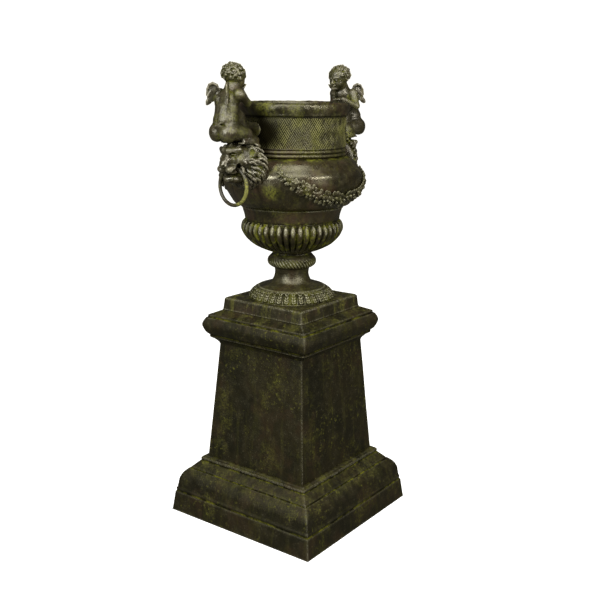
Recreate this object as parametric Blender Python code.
"""Cast-iron garden urn with two cherub handles, standing on a square pedestal.

Frame: the origin is the centre of the pedestal's underside, +Z is up and the sides of the
pedestal face +X, -X, +Y and -Y. The urn is bolted down a few degrees off square. Sizes are in
metres. Everything hangs on one tie rod that runs from the urn's floor to a bar in the plinth.
"""
import math

import bmesh
import bpy
from mathutils import Matrix, Vector

# ---------------------------------------------------------------- driving dimensions
GAP = 0.0003                     # clearance between neighbouring castings
ROUND_SIDES = 36                 # facets around the turned castings
URN_TWIST = math.radians(-4.9)   # the urn against its pedestal, about +Z

PLINTH_HALF = 0.250              # half the side of the square foot on the ground
PLINTH_TOP = 0.166
SHAFT_BASE_HALF = 0.172
SHAFT_TOP_HALF = 0.145
SHAFT_TOP = 0.506
PANEL_THICKNESS = 0.008
CORNICE_HALF = 0.182
CORNICE_TOP = 0.605
SLAB_BASE_HALF = 0.140
SLAB_TOP_HALF = 0.1355
SLAB_TOP = 0.640
FOOT_RADIUS = 0.123
FOOT_TOP = 0.712
KNOP_RADIUS = 0.069
KNOP_TOP = 0.765
CUP_RADIUS = 0.1428
CUP_TOP = 0.862
CUP_FLOOR = 0.780
BELLY_RADIUS = 0.1915
BELLY_TOP = 1.0377
BAND_RADIUS = 0.1450
RIM_RADIUS = 0.1555
RIM_TOP = 1.180
NECK_BORE = 0.136

ROD_RADIUS = 0.008
ROD_HOLE = ROD_RADIUS + GAP
ROD_BOTTOM = 0.112
ROD_TOP = 0.806

BOLT_RADIUS = 0.004
BOLT_HEAD_HEIGHT = 0.0053
BOLT_ACROSS_FLATS = 0.013
CUP_BOLT_CIRCLE = 0.1135
NECK_BOLT_CIRCLE = 0.1275
BELLY_BOLT_SEAT = 0.1803         # under the heads of the bolts that pass the belly's wall
NECK_BOLT_SEAT = 0.1350
FLANGE_BORE = 0.117
CUP_FLANGE_BORE = 0.105

CLEAT_LOW = 0.290
CLEAT_HIGH = 0.390
CLEAT_LEG = 0.034
CLEAT_THICKNESS = 0.006

RING_RADIUS = 0.049              # centre line of the ring
RING_WIRE = 0.005                # radius of its round bar
HINGE_REACH = 0.228              # hinge axis, measured out from the urn's axis
HINGE_HEIGHT = 1.018
RING_SWING_IN = -8.0             # degrees
RING_SWING_OUT = 120.0           # degrees
MOUTH_RADIUS = 0.0095

SEAT_HEIGHT = 1.105              # the cherubs lean from here upwards
CHERUB_LEAN = {"right": -0.10, "left": 0.10}   # outward shift per unit of height
CHERUB_BOLT_HEIGHT = 1.112
MASK_BOLT_TURN = math.radians(9.5)

GARLAND_LOW = 0.934              # height of the middle of a swag
GARLAND_RISE = 0.0765
GARLAND_HALF_ANGLE = 61.0        # degrees, from the middle of a swag to its end
GARLAND_SCREW_ANGLE = 46.3

HANDLES = {"right": URN_TWIST, "left": URN_TWIST + math.pi}
GARLANDS = {"front": URN_TWIST - math.pi / 2, "back": URN_TWIST + math.pi / 2}


# ---------------------------------------------------------------- outlines
def spline(points, steps):
    """A smooth curve through the points, with the given number of steps in each span."""
    ends = [points[0]] + list(points) + [points[-1]]
    curve = []
    for a, b, c, d in zip(ends, ends[1:], ends[2:], ends[3:]):
        for step in range(steps):
            t = step / steps
            curve.append(tuple(
                0.5 * (2 * q + (r - p) * t + (2 * p - 5 * q + 4 * r - s) * t * t
                       + (3 * q - p - 3 * r + s) * t ** 3)
                for p, q, r, s in zip(a, b, c, d)))
    curve.append(points[-1])
    return curve


def arc(centre, radius, start, end, steps):
    """Points on a circle of the outline plane, from start to end in degrees."""
    angles = [math.radians(start + (end - start) * i / steps) for i in range(steps + 1)]
    return [(centre[0] + radius * math.cos(a), centre[1] + radius * math.sin(a))
            for a in angles]


def outset(points, distance):
    """The open outline moved to its right-hand side as it is walked."""
    moved = []
    for i, (x, z) in enumerate(points):
        before = points[max(i - 1, 0)]
        after = points[min(i + 1, len(points) - 1)]
        along = Vector((after[0] - before[0], after[1] - before[1])).normalized()
        moved.append((x + along.y * distance, z - along.x * distance))
    return moved


def plinth_outline():
    ovolo = spline([(0.238, 0.073), (0.236, 0.086), (0.2335, 0.100), (0.2255, 0.116),
                    (0.213, 0.128)], 2)
    bead = arc((0.182, 0.1567), 0.0065, -40, 80, 4)
    outer = [(PLINTH_HALF, 0.0), (0.2425, 0.057), (0.2395, 0.0595), (0.2405, 0.067)]
    outer += ovolo + [(0.2095, 0.1285), (0.2085, 0.1315), (0.1895, 0.1505)] + bead
    inner = [(0.150, PLINTH_TOP), (0.150, 0.154), (0.170, 0.154), (0.200, 0.122),
             (0.221, 0.100), (0.226, 0.070), (0.232, 0.052), (0.240, 0.0)]
    return outer + [(0.1795, PLINTH_TOP)] + inner


def cornice_outline():
    cavetto = spline([(0.146, SHAFT_TOP + GAP), (0.1515, 0.514), (0.158, 0.5205),
                      (0.1665, 0.526)], 2)
    torus = spline([(0.1685, 0.5345), (0.1755, 0.542), (CORNICE_HALF, 0.560),
                    (0.1805, 0.5725), (0.1745, 0.584)], 3)
    top = CORNICE_TOP - GAP
    outer = cavetto + [(0.1670, 0.534)] + torus + [(0.1705, 0.5855), (0.1700, 0.592)]
    plate = [(0.1405, top), (ROD_HOLE, top), (ROD_HOLE, 0.595), (0.152, 0.595)]
    inner = [(0.165, 0.581), (0.170, 0.564), (0.164, 0.549), (0.150, 0.536), (0.128, 0.525)]
    lip = [(0.128, 0.498), (0.1362, 0.498), (0.1362, SHAFT_TOP + GAP)]
    return outer + plate + inner + lip


def slab_outline():
    return [(SLAB_BASE_HALF, CORNICE_TOP), (0.1362, 0.6375), (SLAB_TOP_HALF - 0.002, SLAB_TOP),
            (ROD_HOLE, SLAB_TOP), (ROD_HOLE, 0.630), (0.126, 0.630), (0.130, CORNICE_TOP)]


def foot_outline():
    base = SLAB_TOP + GAP
    leaves = [(FOOT_RADIUS - 0.0005, base), (FOOT_RADIUS, 0.6455), (0.119, 0.6535),
              (0.1125, 0.6610), (0.104, 0.6672), (0.094, 0.6715)]
    stem = [(0.0925, 0.6712), (0.080, 0.6765), (0.067, 0.6805), (0.0575, 0.6845),
            (0.0515, 0.6945), (0.0485, 0.7035), (0.0475, FOOT_TOP)]
    inner = [(ROD_HOLE, FOOT_TOP), (ROD_HOLE, 0.702), (0.038, 0.702), (0.041, 0.684),
             (0.050, 0.673), (0.086, 0.661), (0.102, 0.652), (0.112, base)]
    return leaves + stem + inner


def knop_outline():
    base = FOOT_TOP + GAP
    bulb = [(0.0585, 0.7285), (0.0655, 0.7335), (KNOP_RADIUS, 0.7415), (0.0675, 0.751),
            (0.0605, 0.7595)]
    outer = [(0.0478, base), (0.0485, 0.719), (0.0505, 0.7265)] + bulb
    hollow = [(ROD_HOLE, KNOP_TOP), (ROD_HOLE, 0.757), (0.034, 0.757), (0.040, 0.742),
              (0.034, 0.724), (ROD_HOLE, 0.724), (ROD_HOLE, base)]
    return outer + [(0.0550, KNOP_TOP)] + hollow


def cup_outline():
    base = KNOP_TOP + GAP
    bowl = [(0.0558, 0.770), (0.0755, 0.7765), (0.0958, 0.7855), (0.1143, 0.797),
            (0.1311, 0.8135), (0.1405, 0.830), (CUP_RADIUS, 0.841), (0.1395, 0.8535)]
    top = [(0.1313, CUP_TOP), (CUP_FLANGE_BORE, CUP_TOP), (CUP_FLANGE_BORE, 0.853)]
    inner = [(0.125, 0.850), (0.1295, 0.839), (0.1265, 0.829), (0.114, 0.813),
             (0.096, 0.801), (0.076, 0.792), (0.060, CUP_FLOOR)]
    return [(0.0545, base)] + bowl + top + inner + [(ROD_HOLE, CUP_FLOOR), (ROD_HOLE, base)]


def belly_wall():
    """The belly's outer face, bottom to top."""
    scotia = [(0.1320, CUP_TOP + GAP), (0.1335, 0.874), (0.1375, 0.888), (0.1395, 0.895)]
    bead = [(0.1420, 0.8965), (0.1420, 0.8995)]
    swell = [(0.1440, 0.9015), (0.160, 0.908), (0.1745, 0.929), (0.1868, 0.952),
             (0.1912, 0.968), (BELLY_RADIUS, 0.982), (0.1890, 0.997), (0.1785, 1.0115),
             (0.1690, 1.0250), (0.1575, 1.0335), (0.1475, BELLY_TOP)]
    return scotia + bead + swell


def belly_outline():
    flange = [(FLANGE_BORE, BELLY_TOP), (FLANGE_BORE, 1.028), (0.148, 1.028)]
    inner = [(0.160, 1.021), (0.171, 1.007), (0.1815, 0.993), (0.1835, 0.978),
             (0.1785, 0.955), (0.1665, 0.934), (0.1515, 0.914), (0.134, 0.905),
             (0.127, 0.885), (0.124, 0.870)]
    base = [(CUP_FLANGE_BORE, 0.870), (CUP_FLANGE_BORE, CUP_TOP + GAP)]
    return belly_wall() + flange + inner + base


def neck_wall():
    """The neck's outer face, bottom to top: two half rounds, the band and the rolled rim."""
    lower = arc((0.1425, 1.0433), 0.005, -75, 80, 3)
    upper = arc((0.1425, 1.0538), 0.005, -80, 75, 3)
    band = [(BAND_RADIUS, 1.0600), (BAND_RADIUS, 1.1430)]
    rim = [(0.1495, 1.1450), (0.1525, 1.1520), (RIM_RADIUS, 1.1640), (0.1540, 1.1750),
           (0.1470, RIM_TOP)]
    return lower + upper + band + rim


def neck_outline():
    lip = [(0.1400, 1.1785), (NECK_BORE, 1.1720), (NECK_BORE, 1.046)]
    flange = [(FLANGE_BORE, 1.046), (FLANGE_BORE, BELLY_TOP + GAP),
              (0.1430, BELLY_TOP + GAP)]
    return neck_wall() + lip + flange


def belly_radius(height):
    """Outer radius of the belly at a height."""
    wall = belly_wall()
    for (r0, z0), (r1, z1) in zip(wall, wall[1:]):
        if z0 <= height <= z1:
            return r0 + (r1 - r0) * (height - z0) / (z1 - z0)
    return wall[-1][0]


# ---------------------------------------------------------------- building blocks
def clear_scene():
    for item in list(bpy.data.objects):
        bpy.data.objects.remove(item, do_unlink=True)


def iron(name, colour, roughness, metallic):
    finish = bpy.data.materials.new(name)
    finish.use_nodes = True
    shader = finish.node_tree.nodes["Principled BSDF"]
    shader.inputs["Base Color"].default_value = (*colour, 1.0)
    shader.inputs["Roughness"].default_value = roughness
    shader.inputs["Metallic"].default_value = metallic
    return finish


def add_piece(name, verts, faces, finish=None, smooth=35.0):
    """One named object from a closed list of faces, with its faces pointing out."""
    mesh = bpy.data.meshes.new(name)
    shape = bmesh.new()
    points = [shape.verts.new(v) for v in verts]
    for face in faces:
        shape.faces.new([points[i] for i in face])
    bmesh.ops.recalc_face_normals(shape, faces=shape.faces)
    shape.to_mesh(mesh)
    shape.free()
    piece = bpy.data.objects.new(name, mesh)
    bpy.context.scene.collection.objects.link(piece)
    if finish:
        mesh.materials.append(finish)
    if smooth:
        mesh.shade_smooth()
        mesh.set_sharp_from_angle(angle=math.radians(smooth))
    return piece


def sweep_loops(loops, closed):
    """Faces that join a list of loops, each a list of the same number of points."""
    count = len(loops[0])
    verts = [point for loop in loops for point in loop]
    faces = []
    spans = len(loops) if closed else len(loops) - 1
    for i in range(spans):
        j = (i + 1) % len(loops)
        for k in range(count):
            n = (k + 1) % count
            faces.append((i * count + k, i * count + n, j * count + n, j * count + k))
    if not closed:
        faces.append(tuple(range(count)))
        faces.append(tuple(range((len(loops) - 1) * count, len(loops) * count)))
    return verts, faces


def turned(outline, sides, stretch=None):
    """A closed outline swept around Z. stretch(radius, height, angle) can shape it."""
    loops = []
    for i in range(sides):
        angle = 2 * math.pi * i / sides
        loop = []
        for r, z in outline:
            reach = stretch(r, z, angle) if stretch else r
            loop.append((reach * math.cos(angle), reach * math.sin(angle), z))
        loops.append(loop)
    return sweep_loops(loops, closed=True)


def mitred(outline):
    """A closed outline swept around a square, with the corners mitred."""
    corners = [(1, 1), (-1, 1), (-1, -1), (1, -1)]
    loops = [[(sx * w, sy * w, z) for w, z in outline] for sx, sy in corners]
    return sweep_loops(loops, closed=True)


def hull_of(verts):
    """The convex hull of a set of points, as points and faces."""
    shape = bmesh.new()
    points = [shape.verts.new(v) for v in verts]
    result = bmesh.ops.convex_hull(shape, input=points)
    loose = {v for v in result["geom_interior"] + result["geom_unused"]
             if isinstance(v, bmesh.types.BMVert)}
    bmesh.ops.delete(shape, geom=list(loose), context="VERTS")
    shape.verts.index_update()
    hull = ([tuple(v.co) for v in shape.verts],
            [tuple(v.index for v in f.verts) for f in shape.faces])
    shape.free()
    return hull


def ball_points(centre, radii, rows=5, columns=10):
    points = []
    for i in range(rows + 1):
        polar = math.pi * i / rows
        for j in range(columns if 0 < i < rows else 1):
            turn = 2 * math.pi * j / columns
            points.append((centre[0] + radii[0] * math.sin(polar) * math.cos(turn),
                           centre[1] + radii[1] * math.sin(polar) * math.sin(turn),
                           centre[2] + radii[2] * math.cos(polar)))
    return points


def merge_shells(shells):
    verts, faces = [], []
    for shell_verts, shell_faces in shells:
        start = len(verts)
        verts += shell_verts
        faces += [tuple(start + i for i in face) for face in shell_faces]
    return verts, faces


def limb(start, start_radius, end, end_radius):
    """A rounded, tapered length of body between two points."""
    return hull_of(ball_points(start, (start_radius,) * 3)
                   + ball_points(end, (end_radius,) * 3))


def lump(centre, radii):
    return hull_of(ball_points(centre, radii))


def blend_shells(piece, voxel, ratio):
    """Joins overlapping shells of a casting into one skin."""
    remesh = piece.modifiers.new("one_skin", "REMESH")
    remesh.mode = "VOXEL"
    remesh.voxel_size = voxel
    thin = piece.modifiers.new("fewer_faces", "DECIMATE")
    thin.ratio = ratio


def cut(piece, cutter):
    boolean = piece.modifiers.new(cutter.name, "BOOLEAN")
    boolean.operation = "DIFFERENCE"
    boolean.solver = "EXACT"
    boolean.object = cutter


def as_cutter(piece):
    piece.hide_render = True
    piece.display_type = "WIRE"
    return piece


def facing(origin, direction):
    """A placement whose local Z points along the direction."""
    turn = Vector((0, 0, 1)).rotation_difference(Vector(direction).normalized())
    return Matrix.Translation(origin) @ turn.to_matrix().to_4x4()


def on_circle(angle, radius, height):
    return Vector((radius * math.cos(angle), radius * math.sin(angle), height))


def turned_about_z(point, angle):
    return Matrix.Rotation(angle, 3, "Z") @ Vector(point)


def rod_piece(name, radius, low, high, finish=None, sides=16):
    loops = [[(radius * math.cos(2 * math.pi * k / sides),
               radius * math.sin(2 * math.pi * k / sides), z) for k in range(sides)]
             for z in (low, high)]
    return add_piece(name, *sweep_loops(loops, closed=False), finish)


def hexagon(across_flats, angle):
    """Reach of a hexagon's side at an angle."""
    return across_flats / 2 / math.cos(angle % (math.pi / 3) - math.pi / 6)


def bolt(name, placement, length, finish, sides=6):
    """A hexagon-headed bolt: the shank runs along local +Z from the seat of its head."""
    loops = []
    angles = [2 * math.pi * k / sides for k in range(sides)]
    for z, shank in ((-BOLT_HEAD_HEIGHT, False), (0.0, False), (0.0, True), (length, True)):
        reach = [BOLT_RADIUS if shank else hexagon(BOLT_ACROSS_FLATS, a) for a in angles]
        loops.append([(d * math.cos(a), d * math.sin(a), z) for d, a in zip(reach, angles)])
    piece = add_piece(name, *sweep_loops(loops, closed=False), finish)
    piece.matrix_world = placement
    return piece


def bolt_hole(name, placement, depth, reach_back, pieces):
    """A clearance hole for a bolt, cut into each of the pieces it passes."""
    cutter = as_cutter(rod_piece(name, BOLT_RADIUS + 2 * GAP, -reach_back, depth, sides=8))
    cutter.matrix_world = placement
    for piece in pieces:
        cut(piece, cutter)


def nut(name, height, low, finish, sides=12):
    outline = [(BOLT_ACROSS_FLATS, low), (BOLT_ACROSS_FLATS, low + height),
               (ROD_HOLE, low + height), (ROD_HOLE, low)]

    def hex_side(radius, _height, angle):
        return radius if radius == ROD_HOLE else hexagon(2 * radius, angle)

    return add_piece(name, *turned(outline, sides, hex_side), finish)


def washer(name, radius, low, high, finish):
    outline = [(radius, low), (radius, high), (ROD_HOLE, high), (ROD_HOLE, low)]
    return add_piece(name, *turned(outline, 20), finish)


# ---------------------------------------------------------------- the pedestal
def shaft_half(height):
    rise = (height - PLINTH_TOP) / (SHAFT_TOP - PLINTH_TOP)
    return SHAFT_BASE_HALF + (SHAFT_TOP_HALF - SHAFT_BASE_HALF) * rise


def shaft_panel(name, side_angle, finish):
    """One of the four tapered plates, mitred to its neighbours."""
    mitre_gap = GAP / 2 * math.sqrt(2)
    loops = []
    for z in (PLINTH_TOP + GAP, SHAFT_TOP):
        outer = shaft_half(z)
        inner = outer - PANEL_THICKNESS
        corners = [(outer - mitre_gap, -outer), (-outer + mitre_gap, -outer),
                   (-inner + mitre_gap, -inner), (inner - mitre_gap, -inner)]
        loops.append([(x, y, z) for x, y in corners])
    panel = add_piece(name, *sweep_loops(loops, closed=False), finish, smooth=None)
    panel.rotation_euler[2] = side_angle
    return panel


def corner_cleat(name, corner_angle, finish):
    """An angle casting that ties two panels together behind their mitre."""
    loops = []
    for z in (CLEAT_LOW, CLEAT_HIGH):
        a = shaft_half(z) - PANEL_THICKNESS - 1.5 * GAP
        b = a - CLEAT_LEG
        c = a - CLEAT_THICKNESS
        loops.append([(x, y, z) for x, y in
                      ((a, -a), (a, -b), (c, -b), (c, -c), (b, -c), (b, -a))])
    cleat = add_piece(name, *sweep_loops(loops, closed=False), finish, smooth=None)
    cleat.rotation_euler[2] = corner_angle
    return cleat


def pedestal(iron_finish, steel):
    add_piece("plinth_moulding", *mitred(plinth_outline()), iron_finish, smooth=30)
    add_piece("cornice", *mitred(cornice_outline()), iron_finish, smooth=30)
    sides = ["front", "right", "back", "left"]
    quarter = math.pi / 2
    panels = [shaft_panel(f"shaft_panel_{side}", i * quarter, iron_finish)
              for i, side in enumerate(sides)]
    cleats = [corner_cleat(f"corner_cleat_{i + 1}", i * quarter, iron_finish)
              for i in range(4)]

    middle = (CLEAT_LOW + CLEAT_HIGH) / 2
    slope = (SHAFT_BASE_HALF - SHAFT_TOP_HALF) / (SHAFT_TOP - PLINTH_TOP)
    seat = shaft_half(middle) - PANEL_THICKNESS - CLEAT_THICKNESS - 4 * GAP
    offset = seat - CLEAT_LEG / 2
    shank = CLEAT_THICKNESS + 0.6 * PANEL_THICKNESS
    for i in range(4):
        for j, (cleat, x) in enumerate(((cleats[i], offset), (cleats[i - 1], -offset))):
            name = f"cleat_bolt_{2 * i + j + 1}"
            start = turned_about_z((x, -seat, middle), i * quarter)
            out = turned_about_z((0, -1, slope), i * quarter)
            place = facing(start, out)
            bolt_hole(f"{name}_hole", place, shank + GAP, 0.002, (cleat, panels[i]))
            bolt(name, place, shank, steel)


def tie_rod_set(steel):
    """The rod that clamps urn and pedestal, with the bar it pulls on."""
    rod_piece("tie_rod", ROD_RADIUS, ROD_BOTTOM, ROD_TOP, steel)
    washer("tie_rod_top_washer", 0.020, CUP_FLOOR + GAP, CUP_FLOOR + 0.003, steel)
    nut("tie_rod_top_nut", 0.013, CUP_FLOOR + 0.003 + GAP, steel)

    top = 0.154 - GAP
    bottom = top - 0.010
    half_length, half_width = 0.160, 0.020
    loops = [[(-half_length, -half_width, z), (half_length, -half_width, z),
              (half_length, half_width, z), (-half_length, half_width, z)]
             for z in (bottom, top)]
    bar = add_piece("anchor_bar", *sweep_loops(loops, closed=False), steel, smooth=None)
    cut(bar, as_cutter(rod_piece("anchor_bar_hole", ROD_HOLE, bottom - 0.01, top + 0.01,
                                 sides=16)))
    washer("tie_rod_bottom_washer", 0.020, bottom - 0.003, bottom - GAP, steel)
    nut("tie_rod_bottom_nut", 0.013, bottom - 0.003 - GAP - 0.013, steel)


# ---------------------------------------------------------------- the urn
def vessel(iron_finish):
    """Foot, knop, cup, belly and neck: the turned castings, bottom to top."""
    add_piece("foot_slab", *mitred(slab_outline()), iron_finish, smooth=30)
    add_piece("leaf_foot", *turned(foot_outline(), ROUND_SIDES), iron_finish)
    add_piece("knop", *turned(knop_outline(), ROUND_SIDES), iron_finish)
    cup = add_piece("gadroon_cup", *turned(cup_outline(), ROUND_SIDES), iron_finish)
    belly = add_piece("belly", *turned(belly_outline(), ROUND_SIDES), iron_finish)
    neck = add_piece("neck", *turned(neck_outline(), ROUND_SIDES), iron_finish)
    for item in ("leaf_foot", "knop", "gadroon_cup", "belly", "neck"):
        bpy.data.objects[item].rotation_euler[2] = URN_TWIST
    return cup, belly, neck


def vessel_envelope():
    """The outside of belly and neck with a small clearance, used to trim what they carry."""
    wall = outset(belly_wall() + neck_wall(), 1.4 * GAP)
    core = 0.03
    outline = [(wall[0][0], 0.80)] + wall + [(0.144, RIM_TOP + 1.4 * GAP)]
    outline += [(core, RIM_TOP + 1.4 * GAP), (core, 0.80)]
    envelope = as_cutter(add_piece("vessel_envelope", *turned(outline, ROUND_SIDES)))
    envelope.rotation_euler[2] = URN_TWIST
    return envelope


def flange_bolts(cup, belly, neck, steel):
    quarter = math.pi / 2
    for i in range(4):
        angle = URN_TWIST + math.pi / 4 + i * quarter
        place = facing(on_circle(angle, CUP_BOLT_CIRCLE, 0.870 + GAP), (0, 0, -1))
        bolt_hole(f"cup_flange_hole_{i + 1}", place, 0.030, 0.004, (cup, belly))
        bolt(f"cup_flange_bolt_{i + 1}", place, 0.019, steel)
        angle = URN_TWIST + i * quarter
        place = facing(on_circle(angle, NECK_BOLT_CIRCLE, 1.046 + GAP), (0, 0, -1))
        bolt_hole(f"neck_flange_hole_{i + 1}", place, 0.030, 0.004, (belly, neck))
        bolt(f"neck_flange_bolt_{i + 1}", place, 0.022, steel)


def radial_bolt(name, angle, seat_radius, height, length, wall, carried, steel):
    """A bolt from inside the vessel, out through its wall into what the wall carries."""
    place = facing(on_circle(angle, seat_radius, height), on_circle(angle, 1.0, 0.0))
    bolt_hole(f"{name}_hole", place, length + GAP, 0.002, (wall, carried))
    bolt(name, place, length, steel)


# ---------------------------------------------------------------- the garlands
def garland(name, middle_angle, envelope, finish):
    """A swag of leaves and fruit, thick in the middle and thin at its ends."""
    stations, around = 22, 8
    loops = []
    for i in range(stations + 1):
        share = 2 * i / stations - 1
        angle = middle_angle + math.radians(GARLAND_HALF_ANGLE) * share
        height = GARLAND_LOW + GARLAND_RISE * share * share
        radius = belly_radius(height)
        slope = math.atan2(belly_radius(height + 0.004) - belly_radius(height - 0.004), 0.008)
        lean = math.atan(2 * GARLAND_RISE * share / (math.radians(GARLAND_HALF_ANGLE) * radius))
        bunch = 1.0 + 0.09 * math.cos(6 * math.pi * share)
        tall = (0.0085 + 0.0135 * math.cos(share * math.pi / 2) ** 0.7) * bunch
        deep = 0.005 + 0.0075 * math.cos(share * math.pi / 2) * bunch
        out = on_circle(angle, math.cos(slope), -math.sin(slope))
        side = Vector((-math.sin(angle), math.cos(angle), 0))
        up = out.cross(side)
        across = up * math.cos(lean) - side * math.sin(lean)
        centre = on_circle(angle, radius, height)
        loops.append([centre + across * tall * math.cos(t) + out * deep * math.sin(t)
                      for t in (2 * math.pi * k / around for k in range(around))])
    piece = add_piece(name, *sweep_loops(loops, closed=False), finish, smooth=60)
    cut(piece, envelope)
    return piece


# ---------------------------------------------------------------- the handles
# A handle is described in its own frame: x runs out from the urn's axis, y sideways, z up.
def both_sides(make, *points_and_sizes):
    """The same shell on the +y and the -y side."""
    shells = []
    for side in (1, -1):
        values = [(v[0], v[1] * side, v[2]) if isinstance(v, tuple) else v
                  for v in points_and_sizes]
        shells.append(make(*values))
    return shells


def lion_mask(name, handle_angle, envelope, finish):
    """A lion's face in high relief, with a mouth that a ring hangs in."""
    shells = [lump((0.204, 0, 1.040), (0.047, 0.047, 0.036)),
              lump((0.190, 0, 1.016), (0.032, 0.062, 0.056)),
              lump((0.236, 0, 1.055), (0.020, 0.033, 0.012)),
              limb((0.230, 0, 1.046), 0.020, (0.259, 0, 1.026), 0.0135),
              lump((0.250, 0, 1.020), (0.024, 0.026, 0.014)),
              limb((0.205, 0, 0.985), 0.022, (0.248, 0, 0.993), 0.012)]
    shells += both_sides(lump, (0.204, 0.044, 1.052), (0.022, 0.014, 0.018))
    shells += both_sides(lump, (0.218, 0.022, 1.022), (0.024, 0.014, 0.018))
    for degrees in range(-150, 151, 30):
        turn = math.radians(degrees)
        reach = 0.058 + 0.005 * math.cos(3 * turn)
        shells.append(lump((0.195 - 0.009 * math.cos(turn), reach * math.sin(turn),
                            1.019 - 0.048 * math.cos(turn)), (0.018, 0.013, 0.013)))
    piece = add_piece(name, *merge_shells(shells), finish, smooth=50)
    piece.rotation_euler[2] = handle_angle
    blend_shells(piece, 0.0045, 0.10)
    cut(piece, envelope)
    for cutter in mouth_cutters(name, handle_angle):
        cut(piece, cutter)
    return piece


def ring_depth(offset):
    """How far the ring's centre line lies from the hinge axis, at an offset along it."""
    return RING_RADIUS - math.sqrt(RING_RADIUS ** 2 - offset ** 2)


def mouth_cutters(name, handle_angle):
    """The room that the ring needs in the mouth, over its whole swing."""
    hinge = Vector((HINGE_REACH, 0, HINGE_HEIGHT))
    core_half = 0.031
    core = rod_piece(f"{name}_mouth", MOUTH_RADIUS, -core_half, core_half, sides=16)
    core.matrix_world = (Matrix.Rotation(handle_angle, 4, "Z") @ Matrix.Translation(hinge)
                         @ Matrix.Rotation(math.pi / 2, 4, "X"))

    half_width, steps, spread = 0.0375, 10, 40.0
    first, last = RING_SWING_IN - spread, RING_SWING_OUT + spread
    turns, axis_hole = 18, 0.001
    loops = []
    for i in range(turns + 1):
        swing = math.radians(first + (last - first) * i / turns)
        loop = []
        for j in range(steps + 1):
            s = half_width * (2 * j / steps - 1)
            reach = ring_depth(s) + RING_WIRE + 0.0014
            loop.append((s, reach))
        loop += [(half_width, axis_hole), (-half_width, axis_hole)]
        loops.append([hinge + Vector((reach * math.sin(swing), s, -reach * math.cos(swing)))
                      for s, reach in loop])
    sweep = add_piece(f"{name}_ring_path", *sweep_loops(loops, closed=False))
    sweep.rotation_euler[2] = handle_angle
    return as_cutter(core), as_cutter(sweep)


def ring(name, handle_angle, finish):
    """The loose ring. Its origin is on its hinge axis, between the corners of the mouth."""
    stations, around = 24, 6
    loops = []
    for i in range(stations):
        a = 2 * math.pi * i / stations
        loop = []
        for k in range(around):
            b = 2 * math.pi * k / around
            reach = RING_RADIUS + RING_WIRE * math.cos(b)
            loop.append((RING_WIRE * math.sin(b), reach * math.sin(a),
                         reach * math.cos(a) - RING_RADIUS))
        loops.append(loop)
    piece = add_piece(name, *sweep_loops(loops, closed=True), finish, smooth=60)
    piece.location = on_circle(handle_angle, HINGE_REACH, HINGE_HEIGHT)
    piece.rotation_euler[2] = handle_angle
    return piece


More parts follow.
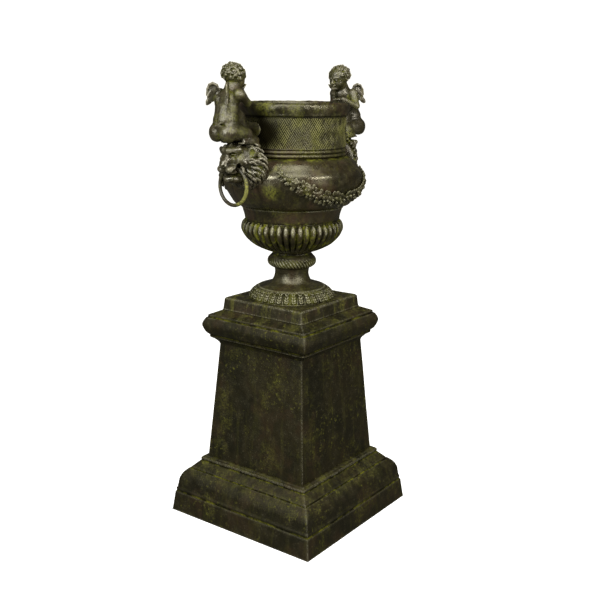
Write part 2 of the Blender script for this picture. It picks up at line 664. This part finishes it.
def cherub(name, handle_angle, lean, envelope, finish):
    """A winged child that sits outside the urn and looks over its rim."""
    def leaning(x, y, z):
        return (x + lean * max(0.0, z - SEAT_HEIGHT), y, z)

    shells = [lump(leaning(0.205, -0.003, 1.2465), (0.0345, 0.0325, 0.0350)),
              limb(leaning(0.208, -0.003, 1.228), 0.017, leaning(0.222, 0, 1.200), 0.017),
              limb(leaning(0.230, 0.021, 1.183), 0.021, leaning(0.230, -0.021, 1.183), 0.021),
              limb(leaning(0.234, 0, 1.178), 0.030, leaning(0.250, 0, 1.142), 0.035),
              limb(leaning(0.250, 0, 1.142), 0.035, leaning(0.252, 0, 1.118), 0.033),
              limb((0.232, 0, 1.116), 0.026, (0.150, 0, 1.112), 0.020)]
    shells += both_sides(lump, (0.262, 0.018, 1.104), (0.026, 0.024, 0.025))
    shells += both_sides(limb, (0.258, 0.022, 1.105), 0.024, (0.234, 0.040, 1.106), 0.019)
    shells += both_sides(limb, (0.234, 0.040, 1.102), 0.015, (0.214, 0.044, 1.092), 0.011)
    right_elbow, left_elbow = (0.188, 0.012, 1.178), (0.212, -0.050, 1.166)
    chin, rim_hand = leaning(0.190, 0.004, 1.214), (0.158, -0.030, 1.184)
    shells += [limb(leaning(0.228, 0.034, 1.190), 0.015, right_elbow, 0.011),
               limb(right_elbow, 0.011, chin, 0.010),
               limb(leaning(0.228, -0.034, 1.190), 0.015, left_elbow, 0.012),
               limb(left_elbow, 0.012, rim_hand, 0.009)]
    for side in (1, -1):
        root, crest, tip = (leaning(0.238, side * 0.018, 1.190),
                            leaning(0.257, side * 0.032, 1.217),
                            leaning(0.274, side * 0.038, 1.177))
        shells.append(hull_of(ball_points(root, (0.010, 0.006, 0.016))
                              + ball_points(crest, (0.015, 0.005, 0.014))
                              + ball_points(tip, (0.007, 0.004, 0.008))))
    piece = add_piece(name, *merge_shells(shells), finish, smooth=50)
    piece.rotation_euler[2] = handle_angle
    blend_shells(piece, 0.0048, 0.10)
    cut(piece, envelope)
    return piece


def handles(belly, neck, envelope, handle_finish, ring_finish, steel):
    for side, angle in HANDLES.items():
        mask = lion_mask(f"lion_mask_{side}", angle, envelope, handle_finish)
        figure = cherub(f"cherub_{side}", angle, CHERUB_LEAN[side], envelope, handle_finish)
        ring(f"ring_{side}", angle, ring_finish)
        for i, turn in enumerate((1, -1)):
            radial_bolt(f"mask_bolt_{side}_{i + 1}", angle + turn * MASK_BOLT_TURN,
                        BELLY_BOLT_SEAT, 0.983, 0.022, belly, mask, steel)
            radial_bolt(f"cherub_bolt_{side}_{i + 1}", angle, NECK_BOLT_SEAT,
                        CHERUB_BOLT_HEIGHT + turn * 0.011, 0.022, neck, figure, steel)


def build():
    clear_scene()
    pedestal_iron = iron("pedestal_iron", (0.030, 0.027, 0.020), 0.55, 0.6)
    urn_iron = iron("urn_iron", (0.036, 0.032, 0.025), 0.45, 0.6)
    handle_iron = iron("handle_iron", (0.050, 0.046, 0.032), 0.50, 0.6)
    ring_iron = iron("ring_iron", (0.060, 0.065, 0.030), 0.45, 0.7)
    steel = iron("fastener_steel", (0.110, 0.085, 0.065), 0.60, 0.8)

    pedestal(pedestal_iron, steel)
    tie_rod_set(steel)
    cup, belly, neck = vessel(urn_iron)
    envelope = vessel_envelope()
    flange_bolts(cup, belly, neck, steel)
    handles(belly, neck, envelope, handle_iron, ring_iron, steel)
    for side, angle in GARLANDS.items():
        swag = garland(f"garland_{side}", angle, envelope, handle_iron)
        for i, turn in enumerate((GARLAND_SCREW_ANGLE, -GARLAND_SCREW_ANGLE)):
            radial_bolt(f"garland_screw_{side}_{i + 1}", angle + math.radians(turn),
                        BELLY_BOLT_SEAT, 0.979, 0.015, belly, swag, steel)


build()
